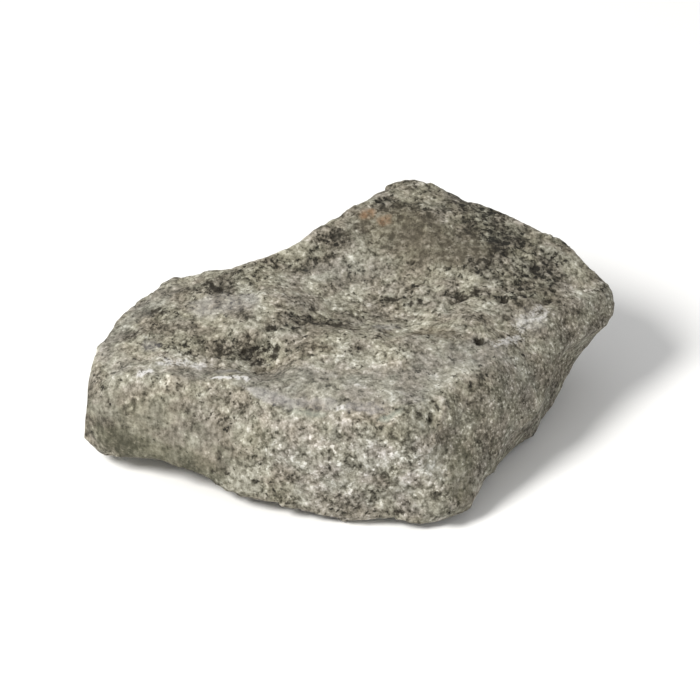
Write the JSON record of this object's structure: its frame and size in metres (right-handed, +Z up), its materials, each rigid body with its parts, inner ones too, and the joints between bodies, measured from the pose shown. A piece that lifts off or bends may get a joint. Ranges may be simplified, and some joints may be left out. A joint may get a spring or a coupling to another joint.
{
  "type": "raw soapstone",
  "caption": "Raw lump of soapstone: a wedge-shaped slab, thick at the back, with a broad dished top, a bevelled front lip, steep broken sides and a flat spot underneath to rest on.",
  "frame": {"origin": "on the surface that the stone rests on, under the middle of its bounding box", "axes": "+Z up, +X along the stone's length, to the right when its lip faces the viewer, +Y from the thin front lip towards the thick back"},
  "size_m": [0.1342, 0.105, 0.0445],
  "materials": {
    "soapstone": "dry, dull, warm grey broken stone, mottled with pale flecks and small dark pits"
  },
  "bodies": {
    "root": {"stone": "soapstone"}
  },
  "joints": []
}
